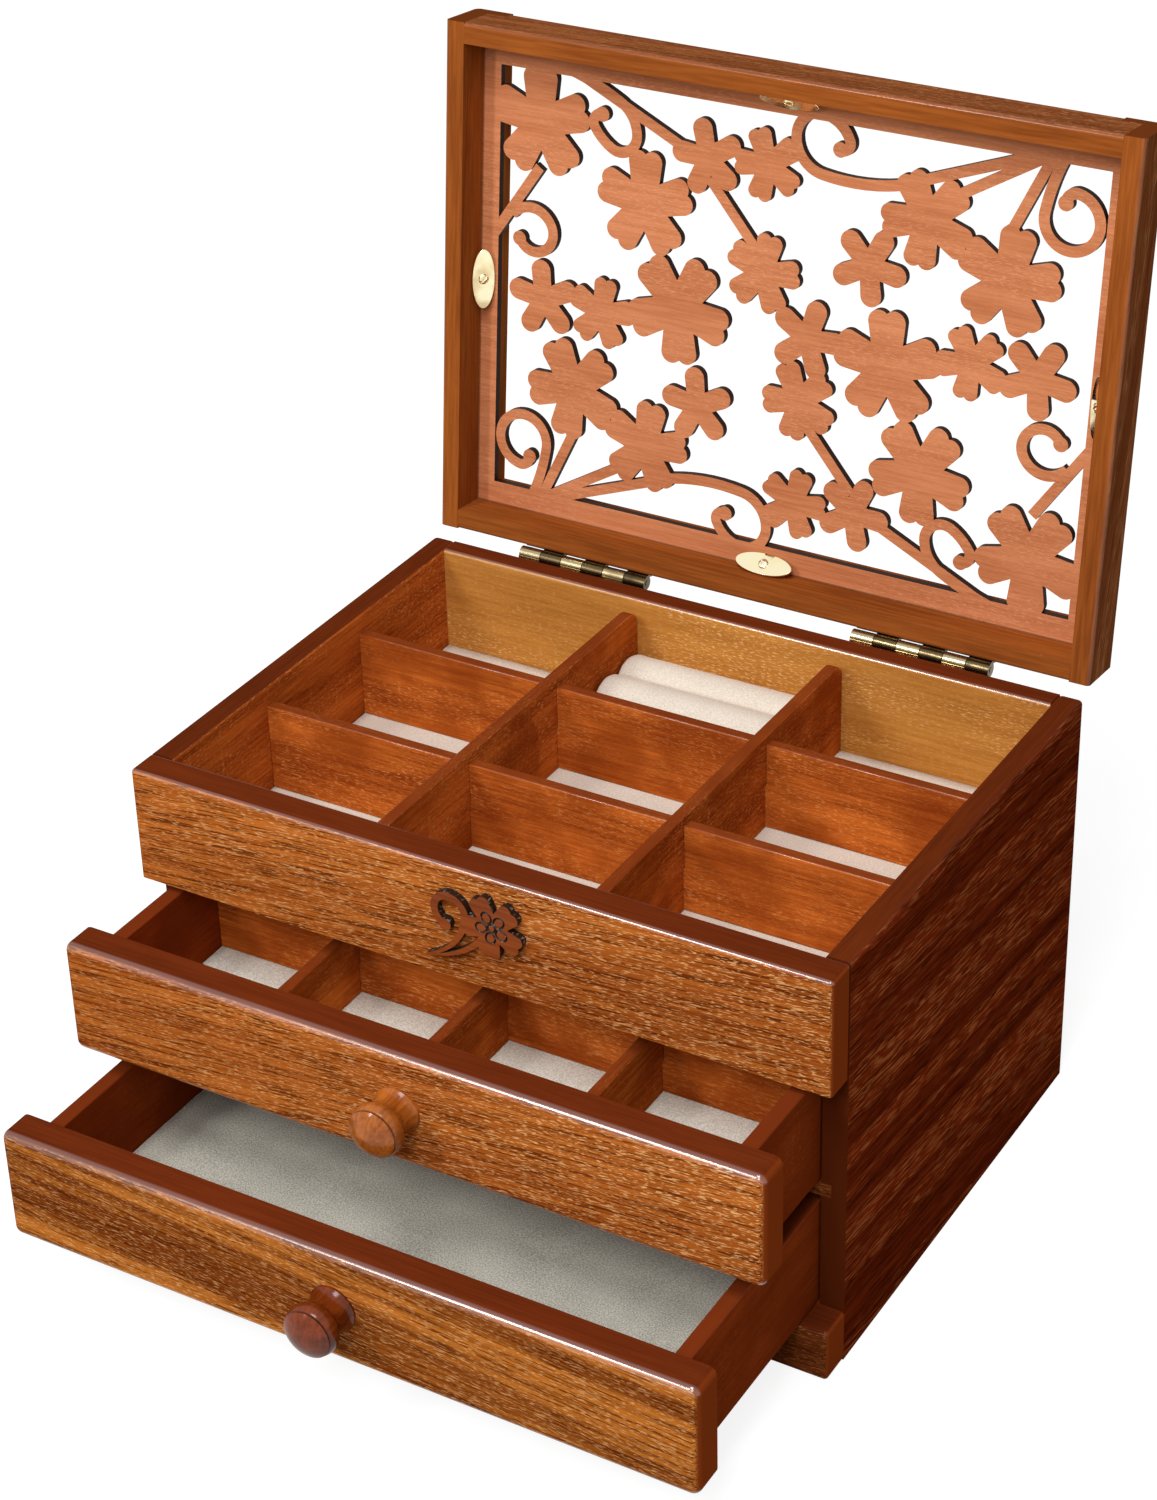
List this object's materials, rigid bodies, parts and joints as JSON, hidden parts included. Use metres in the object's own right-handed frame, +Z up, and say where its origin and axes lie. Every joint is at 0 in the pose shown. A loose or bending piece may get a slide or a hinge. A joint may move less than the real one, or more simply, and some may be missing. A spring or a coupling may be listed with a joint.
{
  "type": "jewelry box with drawers",
  "caption": "Wooden jewelry box with a hinged lid of pierced floral fretwork, a divided velvet tray with ring rolls, and sliding drawers with turned knobs.",
  "frame": {"origin": "centre of the case's flat underside", "axes": "+Z up, the drawers slide out of the front towards -Y, +X to the right seen from the front"},
  "size_m": [0.28, 0.3626, 0.3741],
  "materials": {
    "walnut": "satin lacquer over open-grain veneer",
    "inner_wood": "satin lacquer",
    "fretwork_wood": "raw scroll-sawn board with darkened edges",
    "turned_wood": "gloss lacquer",
    "tray_velvet": "short pile velvet",
    "drawer_velvet": "short pile velvet",
    "antique_brass": "antiqued",
    "polished_brass": "polished"
  },
  "bodies": {
    "case": {"side_left": "walnut", "side_right": "walnut", "back_panel": "walnut", "front_panel": "walnut", "base_rail": "walnut", "base_board": "inner_wood", "runner_left": "inner_wood", "runner_right": "inner_wood", "drawer_shelf": "inner_wood", "tray_floor": "inner_wood", "tray_lining": "tray_velvet", "ring_roll_pad": "tray_velvet", "front_ornament": "turned_wood", "tray_divider_left": "inner_wood", "tray_divider_right": "inner_wood", "tray_cross_front": "inner_wood", "tray_cross_rear": "inner_wood", "hinge_left_case_leaf": "antique_brass", "hinge_left_pin": "antique_brass", "hinge_right_case_leaf": "antique_brass", "hinge_right_pin": "antique_brass", "case_hinge_screws": "antique_brass"},
    "lid": {"lid_left_stile": "walnut", "lid_right_stile": "walnut", "lid_front_rail": "walnut", "lid_back_rail": "walnut", "fretwork_panel": "fretwork_wood", "clip_left": "polished_brass", "clip_right": "polished_brass", "clip_front": "polished_brass", "clip_back": "polished_brass", "hinge_left_lid_leaf": "antique_brass", "hinge_right_lid_leaf": "antique_brass", "clip_screws": "polished_brass", "lid_hinge_screws": "antique_brass"},
    "upper_drawer": {"upper_drawer_front": "walnut", "upper_drawer_knob": "turned_wood", "upper_drawer_left_side": "inner_wood", "upper_drawer_right_side": "inner_wood", "upper_drawer_back": "inner_wood", "upper_drawer_bottom": "inner_wood", "upper_drawer_lining": "drawer_velvet", "upper_drawer_divider_left": "inner_wood", "upper_drawer_divider_middle": "inner_wood", "upper_drawer_divider_right": "inner_wood", "upper_drawer_cross_front": "inner_wood", "upper_drawer_cross_rear": "inner_wood"},
    "lower_drawer": {"lower_drawer_front": "walnut", "lower_drawer_knob": "turned_wood", "lower_drawer_left_side": "inner_wood", "lower_drawer_right_side": "inner_wood", "lower_drawer_back": "inner_wood", "lower_drawer_bottom": "inner_wood", "lower_drawer_lining": "drawer_velvet"}
  },
  "joints": [
    {"name": "lid_hinge", "type": "hinge", "parent": "case", "child": "lid", "pos_m": [0, 0.10505, 0.1682], "axis": [-1, 0, 0], "range_deg": [-96, 0]},
    {"name": "upper_drawer_slide", "type": "slide", "parent": "case", "child": "upper_drawer", "axis": [0, -1, 0], "range_m": [-0.047, 0.103]},
    {"name": "lower_drawer_slide", "type": "slide", "parent": "case", "child": "lower_drawer", "axis": [0, -1, 0], "range_m": [-0.092, 0.058]}
  ]
}
